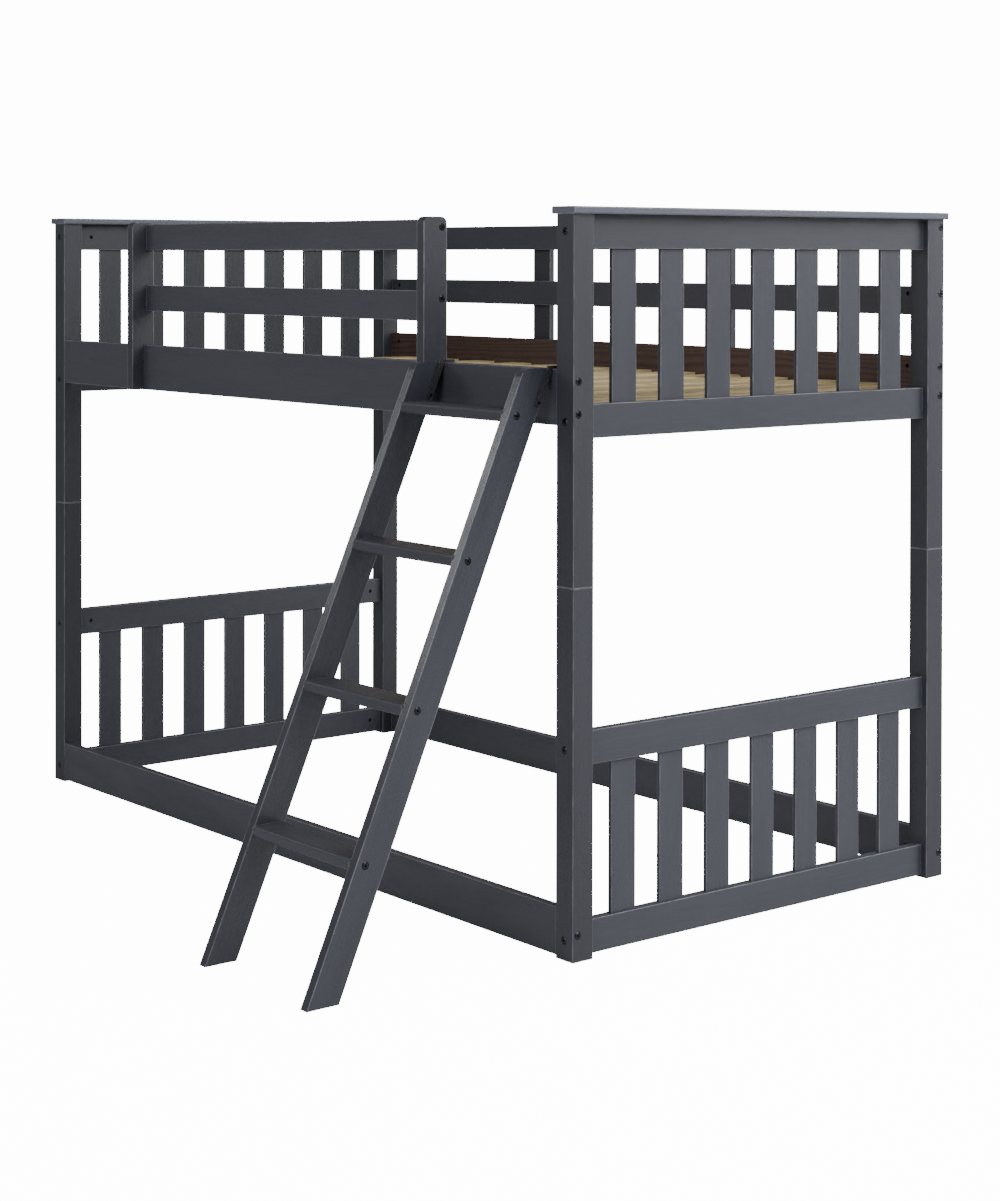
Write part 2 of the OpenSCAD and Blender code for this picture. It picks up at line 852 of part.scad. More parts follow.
module upper_barrel_nuts() {
    color(BLACK) place() {
        for (side = [LEFT, RIGHT]) {
            for (end = [FRONT, REAR])
                at(rail_nut_sites(side * nut_x, rail_mid_y[end], upper_bolt_z, end))
                    barrel_nut([0, 90, 0]);
            at(end_nut_sites(side, mids(upper_panel, end_rail_h)))
                barrel_nut([90, 0, 0]);
            at(rail_nut_sites(side * nut_x, guard_mid_y[REAR], bolt_heights(rear_guard_z), REAR))
                barrel_nut([0, 90, 0]);
        }
        for (x = [guard_rail_x[0] + nut_inset, guard_rail_x[1] - nut_inset])
            at(rail_nut_sites(x, guard_mid_y[FRONT], bolt_heights(front_guard_z), FRONT))
                barrel_nut([0, 90, 0]);
    }
}

lower_post(LEFT, FRONT);  // front_left_lower_post
lower_post(RIGHT, FRONT);  // front_right_lower_post
lower_post(LEFT, REAR);  // rear_left_lower_post
lower_post(RIGHT, REAR);  // rear_right_lower_post
bottom_rail(LEFT, lower_panel);  // left_lower_bottom_rail
top_rail(LEFT, lower_panel);  // left_lower_top_rail
bottom_rail(RIGHT, lower_panel);  // right_lower_bottom_rail
top_rail(RIGHT, lower_panel);  // right_lower_top_rail
slats(LEFT, lower_panel);  // left_lower_end_slats
slats(RIGHT, lower_panel);  // right_lower_end_slats
lower_side_rail(FRONT);  // front_lower_side_rail
lower_side_rail(REAR);  // rear_lower_side_rail
post_pins();
lower_frame_bolts();
lower_barrel_nuts();
upper_post(LEFT, FRONT);  // front_left_upper_post
upper_post(RIGHT, FRONT);  // front_right_upper_post
upper_post(LEFT, REAR);  // rear_left_upper_post
upper_post(RIGHT, REAR);  // rear_right_upper_post
bottom_rail(LEFT, upper_panel);  // left_upper_bottom_rail
top_rail(LEFT, upper_panel);  // left_upper_top_rail
bottom_rail(RIGHT, upper_panel);  // right_upper_bottom_rail
top_rail(RIGHT, upper_panel);  // right_upper_top_rail
slats(LEFT, upper_panel);  // left_upper_end_slats
slats(RIGHT, upper_panel);  // right_upper_end_slats
cap_board(LEFT);  // left_cap_board
cap_board(RIGHT);  // right_cap_board
front_upper_side_rail();
rear_upper_side_rail();
ledger_strips();
bed_slat(0);  // bed_slat_1
bed_slat(1);  // bed_slat_2
bed_slat(2);  // bed_slat_3
bed_slat(3);  // bed_slat_4
bed_slat(4);  // bed_slat_5
bed_slat(5);  // bed_slat_6
bed_slat(6);  // bed_slat_7
bed_slat(7);  // bed_slat_8
bed_slat(8);  // bed_slat_9
bed_slat(9);  // bed_slat_10
bed_slat(10);  // bed_slat_11
bed_slat(11);  // bed_slat_12
guard_post(0);  // left_guard_post
guard_post(1);  // right_guard_post
front_guard_rail(1);  // front_guard_top_rail
front_guard_rail(0);  // front_guard_middle_rail
rear_guard_rail(1);  // rear_guard_top_rail
rear_guard_rail(0);  // rear_guard_middle_rail
rear_battens();
upper_frame_bolts();
upper_barrel_nuts();
deck_screws();
stile(0);  // left_ladder_stile
stile(1);  // right_ladder_stile
tread(0);  // ladder_tread_1
tread(1);  // ladder_tread_2
tread(2);  // ladder_tread_3
tread(3);  // ladder_tread_4
ladder_hooks();
ladder_bolts();
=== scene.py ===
"""Bunk bed with ladder: paint, bare wood, hardware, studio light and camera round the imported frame."""

import logging
import math
from dataclasses import dataclass
from enum import Enum
from typing import Any, Mapping, Optional, Sequence, Union

import bpy
from mathutils import Matrix, Vector


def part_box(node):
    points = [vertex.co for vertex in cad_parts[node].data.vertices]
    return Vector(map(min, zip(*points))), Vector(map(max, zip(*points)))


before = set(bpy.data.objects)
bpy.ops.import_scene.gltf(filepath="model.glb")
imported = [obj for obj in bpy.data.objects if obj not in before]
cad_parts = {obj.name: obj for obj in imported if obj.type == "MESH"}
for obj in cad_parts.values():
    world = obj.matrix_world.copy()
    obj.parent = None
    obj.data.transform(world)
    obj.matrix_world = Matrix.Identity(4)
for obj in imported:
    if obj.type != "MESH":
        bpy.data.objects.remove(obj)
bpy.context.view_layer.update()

LOG = logging.getLogger("bunk_bed")
MM = 0.001

Colour = tuple[float, float, float]
Point = tuple[float, float, float]


class Grain(Enum):
    """The axes along a board's grain, across it and through it."""

    ALONG_X = (0, 1, 2)
    ALONG_Y = (1, 0, 2)
    ALONG_Z = (2, 0, 1)


class Side(Enum):
    """The long side of the bed that a rail is on, with the way that its outer face looks along Y."""

    FRONT = -1
    REAR = 1


# ---------------------------------------------------------------- shader maths


class Value:
    """One socket of a node tree, with the arithmetic that a finish needs."""

    def __init__(self, tree: "Tree", socket: bpy.types.NodeSocket) -> None:
        """Wraps a socket.

        Args:
            tree: the tree that new Math nodes go into.
            socket: the output socket that holds the value.
        """
        self.tree = tree
        self.socket = socket

    def __add__(self, other: "Number") -> "Value":
        """Sum."""
        return self.tree.math("ADD", self, other)

    def __radd__(self, other: "Number") -> "Value":
        """Sum, with the number first."""
        return self.tree.math("ADD", other, self)

    def __sub__(self, other: "Number") -> "Value":
        """Difference."""
        return self.tree.math("SUBTRACT", self, other)

    def __rsub__(self, other: "Number") -> "Value":
        """Difference, with the number first."""
        return self.tree.math("SUBTRACT", other, self)

    def __mul__(self, other: "Number") -> "Value":
        """Product."""
        return self.tree.math("MULTIPLY", self, other)

    def __rmul__(self, other: "Number") -> "Value":
        """Product, with the number first."""
        return self.tree.math("MULTIPLY", other, self)

    def __truediv__(self, other: "Number") -> "Value":
        """Quotient."""
        return self.tree.math("DIVIDE", self, other)

    def __rtruediv__(self, other: "Number") -> "Value":
        """Quotient, with the number first."""
        return self.tree.math("DIVIDE", other, self)

    def __abs__(self) -> "Value":
        """Size without its sign."""
        return self.tree.math("ABSOLUTE", self)

    def least(self, other: "Number") -> "Value":
        """The smaller of two values."""
        return self.tree.math("MINIMUM", self, other)

    def most(self, other: "Number") -> "Value":
        """The larger of two values."""
        return self.tree.math("MAXIMUM", self, other)

    def sine(self) -> "Value":
        """Sine of an angle in radians."""
        return self.tree.math("SINE", self)

    def whole(self) -> "Value":
        """The whole number below."""
        return self.tree.math("FLOOR", self)

    def step(self, low: float, high: float) -> "Value":
        """A smooth rise from 0 at low to 1 at high.

        Args:
            low: the value where the rise starts.
            high: the value where it ends, which may be below low for a fall.

        Returns:
            A value from 0 to 1.
        """
        rising = low < high
        node = self.tree.node(
            "ShaderNodeMapRange",
            {"interpolation_type": "SMOOTHSTEP"},
            {
                "Value": self,
                "From Min": low if rising else high,
                "From Max": high if rising else low,
                "To Min": 0.0 if rising else 1.0,
                "To Max": 1.0 if rising else 0.0,
            },
        )
        return Value(self.tree, node.outputs[0])


Number = Union[Value, float, int]


class Tree:
    """A node tree, emptied, with the one way of adding nodes to it."""

    def __init__(self, owner: Union[bpy.types.Material, bpy.types.World]) -> None:
        """Takes over the nodes of a material or a world.

        Args:
            owner: the material or the world.
        """
        owner.use_nodes = True
        self.tree = owner.node_tree
        self.tree.nodes.clear()

    def node(
        self,
        kind: str,
        settings: Optional[Mapping[str, Any]] = None,
        inputs: Optional[Mapping[Union[str, int], Any]] = None,
    ) -> bpy.types.Node:
        """Adds a node.

        Args:
            kind: the node's type name.
            settings: properties of the node, set before its sockets.
            inputs: a value or a link for each named or numbered socket.

        Returns:
            The new node.
        """
        made = self.tree.nodes.new(kind)
        for key, setting in (settings or {}).items():
            setattr(made, key, setting)
        for key, value in (inputs or {}).items():
            self.feed(made.inputs[key], value)
        return made

    def feed(self, socket: bpy.types.NodeSocket, value: Any) -> None:
        """Links a value to a socket, or sets the socket.

        Args:
            socket: the input socket.
            value: a Value, an output socket, a number or a tuple.
        """
        if isinstance(value, Value):
            self.tree.links.new(value.socket, socket)
        elif isinstance(value, bpy.types.NodeSocket):
            self.tree.links.new(value, socket)
        elif isinstance(value, tuple) and socket.type == "RGBA" and len(value) == 3:
            socket.default_value = (*value, 1.0)
        else:
            socket.default_value = value

    def math(self, operation: str, *values: Number) -> Value:
        """Adds a Math node.

        Args:
            operation: the node's operation.
            *values: its one or two inputs.

        Returns:
            The result.
        """
        made = self.node("ShaderNodeMath", {"operation": operation}, dict(enumerate(values)))
        return Value(self, made.outputs[0])

    def position(self, lean: float = 0.0) -> tuple[Value, Value, Value]:
        """Reads the place on the object, in metres.

        Args:
            lean: a turn about X, in radians, that sets a leaning board upright.

        Returns:
            X, Y and Z.
        """
        place = self.node("ShaderNodeTexCoord").outputs["Object"]
        if lean:
            place = self.node(
                "ShaderNodeVectorRotate", {"rotation_type": "X_AXIS"}, {"Vector": place, "Angle": lean}
            ).outputs[0]
        parts = self.node("ShaderNodeSeparateXYZ", None, {0: place})
        return tuple(Value(self, parts.outputs[i]) for i in range(3))

    def vector(self, x: Number, y: Number, z: Number) -> bpy.types.NodeSocket:
        """Joins three values."""
        return self.node("ShaderNodeCombineXYZ", None, {0: x, 1: y, 2: z}).outputs[0]

    def scaled(self, place: Sequence[Value], scale: Point) -> bpy.types.NodeSocket:
        """A place, scaled apart along X, Y and Z."""
        return self.vector(*(part * size for part, size in zip(place, scale)))

    def noise(self, place: bpy.types.NodeSocket, detail: float = 2.0, rough: float = 0.5) -> Value:
        """Adds a noise texture of scale 1.

        Args:
            place: the vector, already scaled.
            detail: octaves.
            rough: the share of each finer octave.

        Returns:
            Noise, mostly from 0.3 to 0.7.
        """
        made = self.node(
            "ShaderNodeTexNoise", None, {"Vector": place, "Scale": 1.0, "Detail": detail, "Roughness": rough}
        )
        return Value(self, made.outputs[0])

    def mix(self, share: Number, first: Any, second: Any) -> bpy.types.NodeSocket:
        """Mixes two colours.

        Args:
            share: 0 for the first and 1 for the second.
            first: a colour or a colour socket.
            second: a colour or a colour socket.

        Returns:
            The mixed colour.
        """
        made = self.node("ShaderNodeMix", {"data_type": "RGBA"}, {0: share, 6: first, 7: second})
        return made.outputs[2]


class Finish(Tree):
    """The node tree of one material, with its shader and output in place."""

    def __init__(self, name: str) -> None:
        """Makes a material.

        Args:
            name: the material's name.
        """
        self.material = bpy.data.materials.new(name)
        super().__init__(self.material)
        self.shader = self.node("ShaderNodeBsdfPrincipled")
        self.output = self.node("ShaderNodeOutputMaterial", None, {"Surface": self.shader.outputs[0]})

    def give(self, name: str, value: Any) -> None:
        """Links a value to one socket of the shader, or sets the socket to a constant."""
        self.feed(self.shader.inputs[name], value)

    def bump(self, height: Value, depth: float, strength: float) -> None:
        """Feeds the shader's normal from a height.

        Args:
            height: from 0 to 1.
            depth: metres that a height of 1 stands for.
            strength: share of the effect.
        """
        made = self.node("ShaderNodeBump", None, {"Strength": strength, "Distance": depth, "Height": height})
        self.give("Normal", made.outputs[0])


def toned(colour: Colour, tone: float) -> Colour:
    """A colour made lighter or darker."""
    return tuple(part * tone for part in colour)


# ---------------------------------------------------------------- boards


@dataclass(frozen=True)
class Row:
    """Like pieces in one node, side by side along an axis."""

    axis: int
    count: int


@dataclass(frozen=True)
class Board:
    """Where a board lies and how its grain runs."""

    node: str
    grain: Grain
    low: Vector
    high: Vector
    lean: float
    row: Optional[Row]
    seed: float

    @staticmethod
    def read(node: str, grain: Grain, seed: float, lean: float = 0.0, row: Optional[Row] = None) -> "Board":
        """Measures a board of the frame.

        Args:
            node: the CAD node.
            grain: the way of its grain.
            seed: a number that sets its figure apart from the others'.
            lean: the ladder's lean, in radians, for a leaning board.
            row: set for a node that holds several like boards.

        Returns:
            The board, its box taken upright.
        """
        turn = Matrix.Rotation(lean, 3, "X")
        places = [turn @ v.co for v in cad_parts[node].data.vertices]
        low = Vector([min(p[i] for p in places) for i in range(3)])
        high = Vector([max(p[i] for p in places) for i in range(3)])
        return Board(node, grain, low, high, lean, row, seed)


# shifts of the figure along the grain in metres, and their share across it
SEED_SHIFT = 3.7
PIECE_SHIFT = 1.618
SHIFT_ACROSS = 0.31


@dataclass(frozen=True)
class Surface:
    """Places on a board: along the grain, across it, through it, and in from its arrises."""

    tree: Tree
    along: Value
    across: Value
    through: Value
    rim: Value
    place: tuple[Value, Value, Value]

    @staticmethod
    def lay(tree: Tree, board: Board) -> "Surface":
        """Reads a board's own places.

        Args:
            tree: the material's tree.
            board: the board.

        Returns:
            The places, shifted by the board's seed and by each piece of a row.
        """
        place = list(tree.position(board.lean))
        low, high = Vector(board.low), Vector(board.high)
        shift: Number = board.seed * SEED_SHIFT
        if board.row:
            axis, count = board.row.axis, board.row.count
            width = piece_width(board.node, axis)
            pitch = (high[axis] - low[axis] - width) / (count - 1)
            start = low[axis] - (pitch - width) / 2
            number = ((place[axis] - start) / pitch).whole()
            shift = number * PIECE_SHIFT + shift
            place[axis] = place[axis] - number * pitch
            high[axis] = low[axis] + width
        middle, half = (low + high) / 2, (high - low) / 2
        inset = [half[i] - abs(place[i] - middle[i]) for i in range(3)]
        first, second = inset[0].least(inset[1]), inset[0].most(inset[1])
        rim = first.most(second.least(inset[2]))
        along, across, through = (place[i] for i in board.grain.value)
        return Surface(tree, along + shift, across + shift * SHIFT_ACROSS, through, rim, tuple(place))

    def stretched(self, along: float, across: float) -> bpy.types.NodeSocket:
        """A vector for a texture, in cycles per metre along and across the grain."""
        return self.tree.vector(self.along * along, self.across * across, self.through * across)


# a gap between places counts as one between pieces from this share of the widest one on
GAP_SHARE = 0.985


def piece_width(node: str, axis: int) -> float:
    """Width of the first piece in a row of like pieces.

    Args:
        node: the CAD node.
        axis: 0, 1 or 2, the way the row runs.

    Returns:
        The width in metres, up to the first gap between the pieces' places.
    """
    places = sorted({round(v.co[axis], 4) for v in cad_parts[node].data.vertices})
    gaps = [after - before for before, after in zip(places, places[1:])]
    first = next(i for i, gap in enumerate(gaps) if gap > max(gaps) * GAP_SHARE)
    return places[first] - places[0]


@dataclass(frozen=True)
class Streak:
    """Noise drawn out along the grain, in cycles per metre, and the span of it that becomes 0 to 1."""

    along: float
    across: float
    detail: float = 2.0
    rough: float = 0.5
    span: Optional[tuple[float, float]] = None

    def on(self, surface: Surface) -> Value:
        """Lays the noise on a board.

        Args:
            surface: the board's places.

        Returns:
            The noise, from 0 to 1 if it has a span.
        """
        noise = surface.tree.noise(surface.stretched(self.along, self.across), self.detail, self.rough)
        return noise.step(*self.span) if self.span else noise


# ---------------------------------------------------------------- finishes


@dataclass(frozen=True)
class Paint:
    """Semi-gloss charcoal paint, sprayed thin enough for the grain to show."""

    # tone scales the paint's colours; most parts get one that is painted light and shade
    tone: float = 1.0
    base: Colour = (0.0405, 0.0422, 0.0550)
    deep: Colour = (0.0290, 0.0305, 0.0405)
    # pale colour along every arris: worn paint and a painted highlight
    rub: Colour = (0.190, 0.198, 0.220)
    rough: float = 0.40
    shine: float = 0.42
    relief: float = 0.42
    relief_depth: float = 0.6 * MM
    # streaks in the colour, and how much of the base colour each brings over the least
    pores: Streak = Streak(9, 620, 3.0, 0.6, (0.36, 0.68))
    cloud: Streak = Streak(2.5, 14, span=(0.3, 0.7))
    pore_share: float = 0.36
    cloud_share: float = 0.36
    least_share: float = 0.08
    # paler arrises, partly worn paint and partly a painted highlight: where they start and are full, and how
    # much shows
    wear: Streak = Streak(28, 90, span=(0.35, 0.65))
    edge_start: float = 2.4 * MM
    edge_full: float = 0.3 * MM
    edge_least: float = 0.42
    edge_wear: float = 0.45
    # streaks in the relief, with their heights, and in the gloss, with what they add to the roughness
    pore_relief: Streak = Streak(7, 700, 3.0, 0.6)
    figure: Streak = Streak(3, 85, 2.0, 0.55)
    peel: Streak = Streak(420, 420, 1.0)
    gloss: Streak = Streak(6, 30, span=(0.3, 0.7))
    pore_height: float = 0.4
    figure_height: float = 0.6
    peel_height: float = 0.14
    gloss_rough: float = 0.09
    pore_rough: float = 0.08

    def colour(self, surface: Surface) -> bpy.types.NodeSocket:
        """Colour of the paint: pores, cloudy thickness, and paler arrises that are partly worn paint and
        partly a painted highlight.

        Args:
            surface: the board's places.

        Returns:
            The colour.
        """
        tree = surface.tree
        pores, cloud = self.pores.on(surface), self.cloud.on(surface)
        share = pores * self.pore_share + cloud * self.cloud_share + self.least_share
        body = tree.mix(share, toned(self.deep, self.tone), toned(self.base, self.tone))
        # the arris mask and its streaky share lay worn paint and a painted highlight along every arris
        thin = surface.rim.step(self.edge_start, self.edge_full)
        worn = self.edge_least + self.wear.on(surface) * self.edge_wear
        return tree.mix(thin * worn, body, self.rub)

    def make(self, board: Board) -> bpy.types.Material:
        """Makes the paint for one board.

        Args:
            board: the board.

        Returns:
            The material.
        """
        tree = Finish(f"paint.{board.node}")
        surface = Surface.lay(tree, board)
        self.dress(tree, surface, self.colour(surface))
        return tree.material

    def dress(self, tree: Finish, surface: Surface, colour: bpy.types.NodeSocket) -> None:
        """Sets the shader's colour, gloss and relief.

        Args:
            tree: the material's tree.
            surface: the board's places.
            colour: the finished colour.
        """
        pores = self.pore_relief.on(surface)
        figure = self.figure.on(surface)
        peel = self.peel.on(surface)
        gloss = self.gloss.on(surface)
        height = pores * self.pore_height + figure * self.figure_height + peel * self.peel_height
        tree.give("Base Color", colour)
        tree.give("Roughness", self.rough + gloss * self.gloss_rough + pores * self.pore_rough)
        tree.give("Specular IOR Level", self.shine)
        tree.bump(height, self.relief_depth, self.relief)


@dataclass(frozen=True)
class BareWood:
    """Planed wood with growth rings, pores and small knots."""

    tone: float = 1.0
    early: Colour = (0.62, 0.51, 0.28)
    late: Colour = (0.36, 0.265, 0.125)
    knot: Colour = (0.14, 0.075, 0.035)
    rough: float = 0.55
    relief: float = 0.5
    relief_depth: float = 0.6 * MM
    # rings: their pitch, how far the streaks bend them in rings, and their slope through the board
    ring_pitch: float = 5.2 * MM
    ring_bend: float = 9.0
    ring_slope: float = 0.6
    bend: Streak = Streak(1.1, 9)
    # shares of the late wood's colour in the rings, the fibres and a slow change along the board
    ring_share: float = 0.75
    fibre_share: float = 0.25
    tan_share: float = 0.3
    fibre: Streak = Streak(14, 900, 3.0, 0.6, (0.35, 0.7))
    tan: Streak = Streak(1.4, 6, span=(0.3, 0.7))
    # fibres in the relief, and what they add to the roughness
    fibre_relief: Streak = Streak(10, 800, 3.0, 0.6)
    fibre_rough: float = 0.15
    knots: float = 1.0
    # knots to the metre along and across the grain, and their outer and inner edge
    knot_pitch: tuple[float, float] = (3.1, 11)
    knot_edge: tuple[float, float] = (0.15, 0.05)

    def colour(self, surface: Surface) -> bpy.types.NodeSocket:
        """Colour of the wood: rings bent by a slow warp, fine pores and knots.

        Args:
            surface: the board's places.

        Returns:
            The colour.
        """
        tree = surface.tree
        bend = self.bend.on(surface) * self.ring_bend
        cycle = (surface.across + surface.through * self.ring_slope) / self.ring_pitch + bend
        ring = (cycle * math.tau).sine() * 0.5 + 0.5
        early, late = toned(self.early, self.tone), toned(self.late, self.tone)
        share = ring * ring * self.ring_share + self.fibre.on(surface) * self.fibre_share
        body = tree.mix(share, early, late)
        body = tree.mix(self.tan.on(surface) * self.tan_share, body, late)
        cells = tree.node(
            "ShaderNodeTexVoronoi",
            {"voronoi_dimensions": "3D", "feature": "F1"},
            {"Vector": surface.stretched(*self.knot_pitch), "Scale": 1.0},
        )
        spot = Value(tree, cells.outputs[0]).step(*self.knot_edge) * self.knots
        return tree.mix(spot, body, self.knot)

    def make(self, board: Board) -> bpy.types.Material:
        """Makes the wood for one board.

        Args:
            board: the board.

        Returns:
            The material.
        """
        tree = Finish(f"wood.{board.node}")
        surface = Surface.lay(tree, board)
        fibre = self.fibre_relief.on(surface)
        tree.give("Base Color", self.colour(surface))
        tree.give("Roughness", self.rough + fibre * self.fibre_rough)
        tree.bump(fibre, self.relief_depth, self.relief)
        return tree.material


RED_BROWN = BareWood(
    early=(0.088, 0.050, 0.041),
    late=(0.040, 0.022, 0.018),
    knot=(0.02, 0.01, 0.008),
    ring_pitch=7.5 * MM,
    knots=0.5,
)


@dataclass(frozen=True)
class HalfPainted:
    """A rail painted outside, with a red-brown wood figure on its inner face."""

    paint: Paint
    side: Side
    stain: BareWood = RED_BROWN
    # the paint begins and is full at these distances from the inner face
    paint_start: float = 1.0 * MM
    paint_full: float = 2.6 * MM

    def make(self, board: Board) -> bpy.types.Material:
        """Makes both finishes for one rail.

        Args:
            board: the rail.

        Returns:
            The material.
        """
        tree = Finish(f"rail.{board.node}")
        surface = Surface.lay(tree, board)
        inner = board.low.y if self.side is Side.REAR else board.high.y
        away = (surface.place[1] - inner) * self.side.value
        outside = away.step(self.paint_start, self.paint_full)
        colour = tree.mix(outside, self.stain.colour(surface), self.paint.colour(surface))
        self.paint.dress(tree, surface, colour)
        return tree.material


@dataclass(frozen=True)
class Metal:
    """Plated or blackened steel with fine scratches."""

    name: str
    base: Colour
    worn: Colour
    metallic: float
    rough: float
    relief: float = 0.4
    relief_depth: float = 0.1 * MM
    # cycles per metre of the cloudy wear and of the scratches, and what each adds to the roughness
    cloud_scale: Point = (260, 260, 260)
    cloud_span: tuple[float, float] = (0.35, 0.65)
    cloud_detail: float = 3.0
    cloud_rough: float = 0.1
    scratch_scale: Point = (900, 5200, 900)
    scratch_rough: float = 0.12

    def make(self) -> bpy.types.Material:
        """Makes the metal.

        Returns:
            The material.
        """
        tree = Finish(f"metal.{self.name}")
        place = tree.position()
        cloud = tree.noise(tree.scaled(place, self.cloud_scale), self.cloud_detail).step(*self.cloud_span)
        scratch = tree.noise(tree.scaled(place, self.scratch_scale))
        tree.give("Base Color", tree.mix(cloud, self.base, self.worn))
        tree.give("Roughness", self.rough + cloud * self.cloud_rough + scratch * self.scratch_rough)
        tree.give("Metallic", self.metallic)
        tree.bump(scratch, self.relief_depth, self.relief)
        return tree.material


BLACK_STEEL = Metal("black_steel", (0.010, 0.010, 0.012), (0.030, 0.030, 0.034), 0.6, 0.17)
HOOK_STEEL = Metal("coated_steel", (0.024, 0.025, 0.030), (0.036, 0.037, 0.043), 0.15, 0.34)
BARE_STEEL = Metal("zinc_steel", (0.55, 0.55, 0.56), (0.42, 0.42, 0.43), 1.0, 0.26)


# ---------------------------------------------------------------- sub-assemblies

# least angle in degrees that an arris turns through to be eased
SHARP_ANGLE = 40.0


def dress(node: str, material: bpy.types.Material) -> None:
    """Gives every slot of a CAD node one material.

    Args:
        node: the CAD node.
        material: its finish.
    """
    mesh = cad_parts[node].data
    mesh.materials.clear()
    mesh.materials.append(material)
    LOG.info("%s: %s", node, material.name)


def soften(node: str, width: float) -> None:
    """Rounds the sharp arrises of a CAD node with a small bevel.

    Args:
        node: the CAD node.
        width: size of the bevel in metres.
    """
    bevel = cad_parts[node].modifiers.new("eased_arrises", "BEVEL")
    bevel.limit_method = "ANGLE"
    bevel.angle_limit = math.radians(SHARP_ANGLE)
    bevel.width = width
    bevel.segments = 2


@dataclass
class BedUnit:
    """Posts, end panels and side rails of one unit."""

    level: str
    seed: float
    # painted light and shade: the one charcoal paint made lighter or darker per part, to how much light its
    # faces take; end panels (left, right), posts (front left, front right, rear left, rear right), side
    # rails (front, rear)
    panel_tones: tuple[float, float]
    post_tones: tuple[float, float, float, float]
    rail_tones: tuple[float, float] = (1.34, 1.2998)
    # tones of the boards in a panel, taken in turn
    board_tones: Sequence[float] = (1.0, 1.05, 0.97, 1.02)
    end_slats: int = 7
    # where the seeds of the end rails, the end slats and the side rails start
    panel_seed: float = 5.0
    slat_seed: float = 11.0
    rail_seed: float = 15.0

    def posts(self) -> None:
        """Paints the four posts."""
        for i, corner in enumerate(("front_left", "front_right", "rear_left", "rear_right")):
            node = f"{corner}_{self.level}_post"
            board = Board.read(node, Grain.ALONG_Z, self.seed + i)
            dress(node, Paint(self.post_tones[i]).make(board))

    def end_panels(self) -> None:
        """Paints the rails and slats of both ends."""
        for i, side in enumerate(("left", "right")):
            tone = self.panel_tones[i]
            for j, place in enumerate(("bottom", "top")):
                node = f"{side}_{self.level}_{place}_rail"
                board = Board.read(node, Grain.ALONG_Y, self.seed + self.panel_seed + 2 * i + j)
                dress(node, Paint(tone * self.board_tones[i + j]).make(board))
            node = f"{side}_{self.level}_end_slats"
            row = Row(axis=1, count=self.end_slats)
            board = Board.read(node, Grain.ALONG_Z, self.seed + self.slat_seed + i, row=row)
            dress(node, Paint(tone * self.board_tones[i + 2]).make(board))

    def side_rails(self) -> None:
        """Paints the side rails; the upper ones get a red-brown wood figure on the inner face."""
        for i, side in enumerate(Side):
            node = f"{side.name.lower()}_{self.level}_side_rail"
            board = Board.read(node, Grain.ALONG_X, self.seed + self.rail_seed + i)
            paint = Paint(self.rail_tones[i])
            finish = HalfPainted(paint, side) if self.level == "upper" else paint
            dress(node, finish.make(board))

    def build(self) -> None:
        """Dresses the unit."""
        self.posts()
        self.end_panels()
        self.side_rails()


@dataclass
class Caps:
    """The board over each end."""

    seed: float = 40.0
    # painted light: the caps' paint is made 2.7 times lighter, standing in for the light on their top edges
    tone: float = 2.7
    rough: float = 0.34

    def build(self) -> None:
        """Paints both caps."""
        for i, side in enumerate(("left", "right")):
            node = f"{side}_cap_board"
            board = Board.read(node, Grain.ALONG_Y, self.seed + i)
            dress(node, Paint(self.tone, rough=self.rough).make(board))


@dataclass
class Deck:
    """Ledger strips and bed slats."""

    slats: int = 12
    seed: float = 50.0
    seed_step: float = 1.7
    strip_seed: float = 31.0
    # tones of the slats, taken in turn
    tones: Sequence[float] = (1.0, 0.84, 1.08, 0.92, 1.04)

    def build(self) -> None:
        """Gives every slat its own figure."""
        for i in range(self.slats):
            node = f"bed_slat_{i + 1}"
            pine = BareWood(self.tones[i % len(self.tones)])
            dress(node, pine.make(Board.read(node, Grain.ALONG_Y, self.seed + i * self.seed_step)))
        row = Row(axis=1, count=2)
        strips = Board.read("ledger_strips", Grain.ALONG_X, self.seed + self.strip_seed, row=row)
        dress("ledger_strips", BareWood().make(strips))


@dataclass
class Guards:
    """Guard rails front and rear, guard posts and rear battens."""

    seed: float = 90.0
    post_seed: float = 6.0
    batten_seed: float = 9.0
    # painted light and shade: tones of the middle and the top rails, and of the posts, making the one paint
    # lighter or darker to how much light each takes
    rail_tones: tuple[float, float] = (1.3132, 1.3668)
    post_tone: float = 0.92
    post_bevel: float = 1.4 * MM

    def build(self) -> None:
        """Paints the guards."""
        for i, end in enumerate(("front", "rear")):
            for j, place in enumerate(("middle", "top")):
                node = f"{end}_guard_{place}_rail"
                board = Board.read(node, Grain.ALONG_X, self.seed + 2 * i + j)
                dress(node, Paint(self.rail_tones[j]).make(board))
        for i, side in enumerate(("left", "right")):
            node = f"{side}_guard_post"
            board = Board.read(node, Grain.ALONG_Z, self.seed + self.post_seed + i)
            dress(node, Paint(self.post_tone).make(board))
            soften(node, self.post_bevel)
        row = Row(axis=0, count=2)
        battens = Board.read("rear_battens", Grain.ALONG_Z, self.seed + self.batten_seed, row=row)
        dress("rear_battens", Paint().make(battens))


